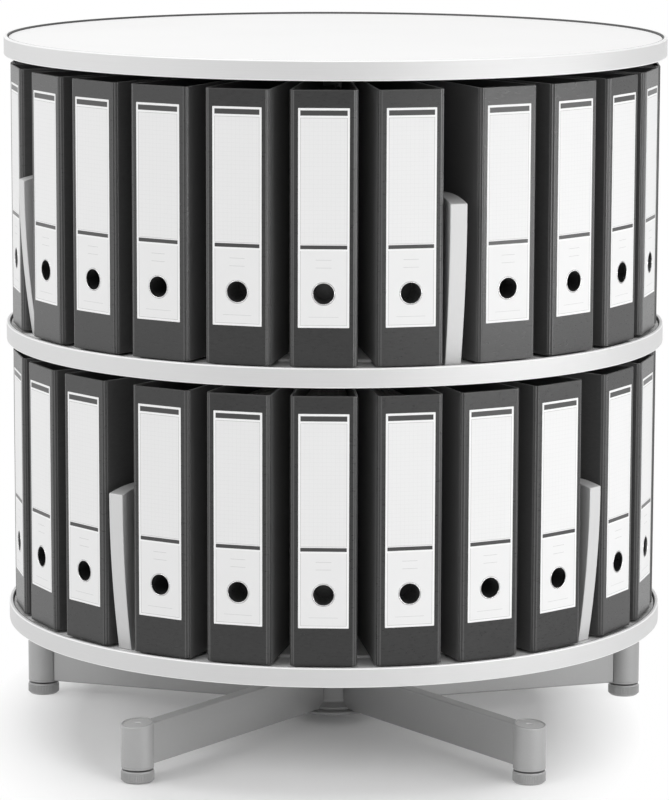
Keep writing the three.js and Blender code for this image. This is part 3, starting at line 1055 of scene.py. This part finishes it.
def build_dividers():
    lacquer = silver_lacquer()
    for tier in TIERS:
        first = f"{tier}_divider_1"
        angle = bearing_angle(first)
        inner, outer, half = spans(first, outward(angle))
        low = heights_of(f"{tier}_file_1")[0]
        high = heights_of(first)[1]
        step = radius_of(f"{tier}_panel") - PANEL_MARGIN + DIVIDER_STEP_GAP
        foot = Vector((outer - DIVIDER_LEAN, -PANEL_MARGIN_DEPTH))
        brow = Vector((outer, DIVIDER_FRONT_HEIGHT))
        crown = Vector((outer - DIVIDER_CROWN_RUN, high - low))
        back = Vector((inner, DIVIDER_INNER_HEIGHT))
        side = [Vector((inner, 0)), Vector((step, 0)), Vector((step, -PANEL_MARGIN_DEPTH)), foot]
        side += curve(foot, Vector((outer, DIVIDER_FRONT_HEIGHT / 2)), brow, DIVIDER_STEPS)
        side += curve(brow, Vector(((outer + crown.x) / 2, crown.y)), crown, DIVIDER_STEPS)
        side += curve(crown, Vector((inner, crown.y)), back, DIVIDER_STEPS)

        def face(way):
            points = []
            for point in side:
                share = (point.x - inner) / (outer - inner)
                thickness = DIVIDER_INNER_THICKNESS * (1 - share) + 2 * half * share
                points.append((point.x, way * thickness / 2, low + point.y))
            return points

        fin = bevelled(loft([face(-1), face(1)]), DIVIDER_EDGE)
        front = fin.attributes.new(FRONT_EDGE, "FLOAT", "FACE")
        for flat in fin.polygons:
            front.data[flat.index].value = float(flat.normal.x > FRONT_FACING)
        names = nodes_named(f"{tier}_divider_")
        fins = smooth(ring_of(fin, lacquer, len(names), angle, math.tau / len(names)))
        piece(f"{tier}_dividers", fins, lacquer, "divider_silver", f"{tier}_carousel", *names)


# Lever arch files, drawn with the spine towards +X and standing on Z = 0


def set_in(line, distance):
    """Open line of points set in to its right by a distance."""
    result = []
    for i, point in enumerate(line):
        back = (point - line[i - 1]).normalized() if i else (line[1] - point).normalized()
        ahead = (line[i + 1] - point).normalized() if i + 1 < len(line) else back
        normal = Vector((back.y, -back.x)) + Vector((ahead.y, -ahead.x))
        normal.normalize()
        stretch = normal.dot(Vector((back.y, -back.x)))
        result.append(point + normal * distance / stretch)
    return result


def creased(line):
    """Line with a fine groove at each corner."""
    result = [line[0]]
    for i in range(1, len(line) - 1):
        back = (line[i - 1] - line[i]).normalized()
        ahead = (line[i + 1] - line[i]).normalized()
        result.append(line[i] + back * CREASE_WIDTH)
        result.append(line[i] + (back + ahead).normalized() * CREASE_DEPTH)
        result.append(line[i] + ahead * CREASE_WIDTH)
    return result + [line[-1]]


def onto_spine(mesh, reach):
    """Copy of a turned mesh, laid along the axis of the finger hole."""
    return moved(mesh, Matrix.Translation((reach, 0, HOLE_HEIGHT)) @ Matrix.Rotation(math.pi / 2, 4, "Y"))


def cover_mesh(inner, reach, inner_half, half, taper, height):
    """Two covers and a spine of board, with creased hinge strips and a blind finger hole."""
    strip = Vector((reach - SPINE_EDGE, half - SPINE_EDGE * taper))
    corner = Vector((reach, half - SPINE_EDGE))
    across = (corner - strip).normalized()
    fold = (strip + corner) / 2 + STRIP_SWELL * Vector((-across.y, across.x))
    right = [Vector((inner, inner_half)), strip, fold, corner]
    line = right + [Vector((point.x, -point.y)) for point in reversed(right)]

    def level(z, lip):
        outside = creased(set_in(line, lip))
        inside = set_in(line, BOARD - lip)
        return [(x, y, z) for x, y in outside + inside[::-1]]

    walls = loft([
        level(0, BOARD_LIP),
        level(BOARD_LIP, 0),
        level(height - BOARD_LIP, 0),
        level(height, BOARD_LIP),
    ])
    drilled = cut(walls, onto_spine(plug(HOLE_RADIUS, -HOLE_DEPTH, BOARD, SMALL_SIDES), reach))
    wall = HOLE_RADIUS + BOARD / 2
    pocket = lathe([
        (0, -HOLE_DEPTH - BOARD / 2),
        (wall, -HOLE_DEPTH - BOARD / 2),
        (wall, -BOARD),
        (HOLE_RADIUS, -BOARD),
        (HOLE_RADIUS, -HOLE_DEPTH),
        (0, -HOLE_DEPTH),
    ], SMALL_SIDES)
    mesh = smooth(joined(drilled, onto_spine(pocket, reach)), COVER_SHARP_ANGLE)
    paper = mesh.attributes.new(COVER_PAPER, "FLOAT", "FACE")
    # marks the grooves beside the spine, which the covering colours paler as wear and as painted highlight
    crease = mesh.attributes.new(CREASE_WEAR_AND_HIGHLIGHT, "FLOAT", "FACE")
    least, most = CREASE_FACE_WIDTHS
    for face in mesh.polygons:
        outside_hole = abs(face.center.y) > HOLE_RADIUS + BOARD
        paper.data[face.index].value = float(outside_hole and abs(face.normal.y) > COVER_FACING)
        narrow = least < face.area / height < most
        crease.data[face.index].value = float(outside_hole and narrow)
    return mesh


def label_mesh(reach):
    width = LABEL_WIDTH * MM
    height = LABEL_HEIGHT * MM
    corners = [(x * width / 2, (y + 1) * height / 2, LABEL_CORNER) for x, y in SQUARE]
    sheet = prism(rounded(corners, steps=2), 0, LABEL_THICKNESS)
    upright = Matrix(((0, 0, 1, reach), (1, 0, 0, 0), (0, 1, 0, LABEL_BASE), (0, 0, 0, 1)))
    sheet.transform(upright)
    punch = plug(HOLE_RADIUS + RING_WIDTH + LABEL_CLEARANCE, -BOARD, BOARD, SMALL_SIDES)
    mesh = cut(sheet, onto_spine(punch, reach))
    printed = mesh.uv_layers.new(name="print")
    for loop in mesh.loops:
        point = mesh.vertices[loop.vertex_index].co
        printed.data[loop.index].uv = (point.y / width + 0.5, (point.z - LABEL_BASE) / height)
    return mesh


def metal_mesh(reach, half, taper):
    """Finger ring on the spine, and the lever mechanism on one cover."""
    sleeve_inside = HOLE_RADIUS - RING_SLEEVE
    sleeve_outside = HOLE_RADIUS + RING_SLEEVE
    ring = lathe(rounded([
        (sleeve_inside, -BOARD, 0),
        (sleeve_outside, -BOARD, 0),
        (sleeve_outside, 0, 0),
        (HOLE_RADIUS + RING_WIDTH, 0, 0),
        (HOLE_RADIUS + RING_WIDTH, RING_PROUD, RING_ROUND),
        (sleeve_inside, RING_PROUD, RING_ROUND),
    ], steps=4), SMALL_SIDES)

    plate_side = BOARD + PLATE_GAP - (half - taper * PLATE_SETBACK)
    to_cover = Matrix.Translation((reach - PLATE_SETBACK, plate_side, SHEET_HEIGHT / 2))
    lean = to_cover @ Matrix.Rotation(-math.atan(taper), 4, "Z")
    corners = [(x * PLATE_HALF_WIDTH, z * PLATE_HALF_LENGTH, PLATE_CORNER) for x, z in SQUARE]
    plate = prism(rounded(corners, steps=3), -PLATE_THICKNESS, 0)
    plate.transform(Matrix.Rotation(math.pi / 2, 4, "X"))
    arch = []
    for step in range(ARCH_STEPS + 1):
        turn = math.pi * step / ARCH_STEPS
        rise = ARCH_FOOT + ARCH_RISE * math.sin(turn) ** ARCH_FULLNESS
        arch.append((-ARCH_HALF_WIDTH * math.cos(turn), rise, 0))
    parts = [plate]
    for way in (-1, 1):
        to_hole = Matrix.Translation((0, 0, way * ARCH_PITCH / 2))
        parts.append(moved(rod(arch, ARCH_RADIUS), to_hole))
    handle = [Vector(point) * MM for point in LEVER_PATH]
    parts.append(rod(handle, LEVER_RADIUS))
    return smooth(joined(onto_spine(ring, reach), *[moved(part, lean) for part in parts]))


def papers_mesh(inner, reach, inner_half, half, taper):
    """Sheaves of sheets between the covers, each cut a little differently."""
    draw = random.Random(SHEAF_SEED)
    front = reach - SHEET_SETBACK
    front_half = half - taper * SHEET_SETBACK - SHEET_CLEARANCE
    back_half = inner_half - SHEET_CLEARANCE
    sheaves = []
    for i in range(SHEAVES):
        low = 2 * i / SHEAVES - 1
        high = 2 * (i + SHEAF_FILL) / SHEAVES - 1
        start = inner + draw.uniform(*SHEAF_SETBACKS)
        top = SHEET_HEIGHT - draw.uniform(*SHEAF_DROPS)
        near = [(front, front_half * low), (front, front_half * high)]
        plan = [(start, back_half * low), *near, (start, back_half * high)]
        sheaves.append(prism(plan, SHEAF_BASE, top))
    return joined(*sheaves)


def build_files():
    pulls = {}
    for joint in frame["joints"]:
        if joint["name"].endswith("_pull"):
            pulls[joint["child"]] = Vector(joint["axis"]).normalized()
    numbers = range(1, len(pulls) // len(TIERS) + 1)
    sample = "lower_file_1"
    out = pulls[sample]
    inner, reach, half = spans(sample, out)
    side = Vector((-out.y, out.x, 0))
    vertices = [vertex.co for vertex in frame["nodes"][sample].data.vertices]
    inner_half = max(point.dot(side) for point in vertices if point.dot(out) < inner + MM)
    taper = (half - inner_half) / (reach - inner)
    low, high = heights_of(sample)
    tier_pitch = heights_of("upper_file_1")[0] - low
    cover = cover_mesh(inner, reach, inner_half, half, taper, high - low)
    papers = papers_mesh(inner, reach, inner_half, half, taper)
    shapes = {
        "cover": (cover, "file_board", grained_board(low, tier_pitch, high - low)),
        "label": (label_mesh(reach), "label_paper", printed_label()),
        "fittings": (metal_mesh(reach, half, taper), "file_metal", plated_steel()),
        "papers": (papers, "file_papers", stacked_sheets()),
    }
    for tier in TIERS:
        base = heights_of(f"{tier}_file_1")[0]
        angles = []
        for i in numbers:
            node = f"{tier}_file_{i}"
            angles.append(math.atan2(pulls[node].y, pulls[node].x))
            for part, (mesh, slot, finish) in shapes.items():
                nodes = [node] if part == "cover" else []
                standing = moved(mesh, level_turn(angles[-1], base))
                piece(f"{node}_{part}", standing, finish, slot, node, *nodes)
        rows = nodes_named(f"{tier}_file_row_")
        sector = math.tau / (len(rows) + 1)
        step = angles[1] - angles[0]
        copies = len(rows) * len(numbers)
        for part, (mesh, slot, finish) in shapes.items():
            raised = moved(mesh, level_turn(0, base))
            ring = ring_of(raised, finish, copies, angles[0] + sector, step, len(numbers), sector)
            nodes = rows if part == "cover" else []
            piece(f"{tier}_row_{part}", ring, finish, slot, f"{tier}_carousel", *nodes)


# Studio


def seen(tree):
    """1 for rays that come from the camera or from a mirror or glass, 0 for light."""
    rays = tree.node("ShaderNodeLightPath", output="Is Camera Ray")
    seen_rays = rays + rays.output("Is Glossy Ray") + rays.output("Is Transmission Ray")
    return seen_rays.math("MINIMUM", seen_rays, 1)


def build_floor():
    made, tree = material("studio_floor")
    place = tree.place()
    sockets = {"Vector": place, "Location": SHADOW_SHIFT, "Scale": SHADOW_STRETCH}
    oval = tree.node("ShaderNodeMapping", {}, sockets)
    mottle = tree.noise(place, scale=3, detail=2)
    lit = tree.node("ShaderNodeBsdfPrincipled", {}, {
        "Base Color": tree.mix(mottle, grey(0.9), grey(0.92)),
        "Roughness": 0.7,
        "Specular IOR Level": 0.2,
    })
    white = tree.node("ShaderNodeEmission", {}, {"Color": grey(1), "Strength": 1})
    fade = tree.spread(tree.length(oval), *SHADOW_FADE) * seen(tree)
    shader = tree.node("ShaderNodeMixShader", {}, {0: fade, 1: lit, 2: white})
    tree.node("ShaderNodeOutputMaterial", {}, {"Surface": shader})
    corners = [(x * FLOOR_HALF, y * FLOOR_HALF, -FLOOR_DROP) for x, y in SQUARE]
    mesh = bpy.data.meshes.new("floor")
    mesh.from_pydata(corners, [], [(0, 1, 2, 3)])
    mesh.materials.append(made)
    floor = add_object("floor", mesh)


def softbox(name, azimuth, distance, height, aim_height, size, radiance):
    """Area lamp at an angle right of the front, facing the column. Radiance 1 looks white."""
    lamp = bpy.data.lights.new(name, "AREA")
    lamp.shape = "RECTANGLE"
    lamp.size, lamp.size_y = size
    lamp.energy = radiance * math.pi * size[0] * size[1]
    made = add_object(name, lamp)
    turn = math.radians(azimuth)
    made.location = (distance * math.sin(turn), -distance * math.cos(turn), height)
    aim = Vector((0, 0, aim_height)) - made.location
    made.rotation_euler = aim.to_track_quat("-Z", "Y").to_euler()


def build_light():
    world = bpy.data.worlds.new("studio")
    world.use_nodes = True
    tree = Tree(world.node_tree)
    strength = AMBIENT + (1 - AMBIENT) * seen(tree)
    background = tree.node("ShaderNodeBackground", {}, {"Color": grey(1), "Strength": strength})
    tree.node("ShaderNodeOutputWorld", {}, {"Surface": background})
    bpy.context.scene.world = world
    softbox("right_softbox", azimuth=58, distance=2.4, height=0.48, aim_height=0.48,
            size=(2.8, 0.42), radiance=5.8)
    softbox("left_softbox", azimuth=-86, distance=2.8, height=1.3, aim_height=0.9,
            size=(4.2, 2.6), radiance=0.67)
    softbox("front_left_softbox", azimuth=-50, distance=4.6, height=2.9, aim_height=0.4,
            size=(1.8, 1.6), radiance=4.85)
    softbox("front_right_softbox", azimuth=42, distance=4.6, height=2.9, aim_height=0.4,
            size=(1.8, 1.6), radiance=2.5)
    softbox("top_softbox", azimuth=0, distance=0.2, height=3.6, aim_height=0.0,
            size=(2.4, 2.4), radiance=1.95)


def build_camera():
    lens = bpy.data.cameras.new("camera")
    lens.lens = CAMERA_LENS
    lens.sensor_width = SENSOR_WIDTH
    made = add_object("camera", lens)
    upright = Matrix.Rotation(math.radians(90 - CAMERA_PITCH), 4, "X")
    roll = Matrix.Rotation(math.radians(CAMERA_ROLL), 4, "Z")
    made.matrix_world = Matrix.Translation((0, -CAMERA_DISTANCE, CAMERA_HEIGHT)) @ upright @ roll
    bpy.context.scene.camera = made


build_camera()
stand_paint = build_stand()
build_column()
build_flanges(stand_paint)
build_decks()
build_dividers()
build_files()
build_floor()
build_light()
bpy.context.scene.view_settings.view_transform = "Standard"
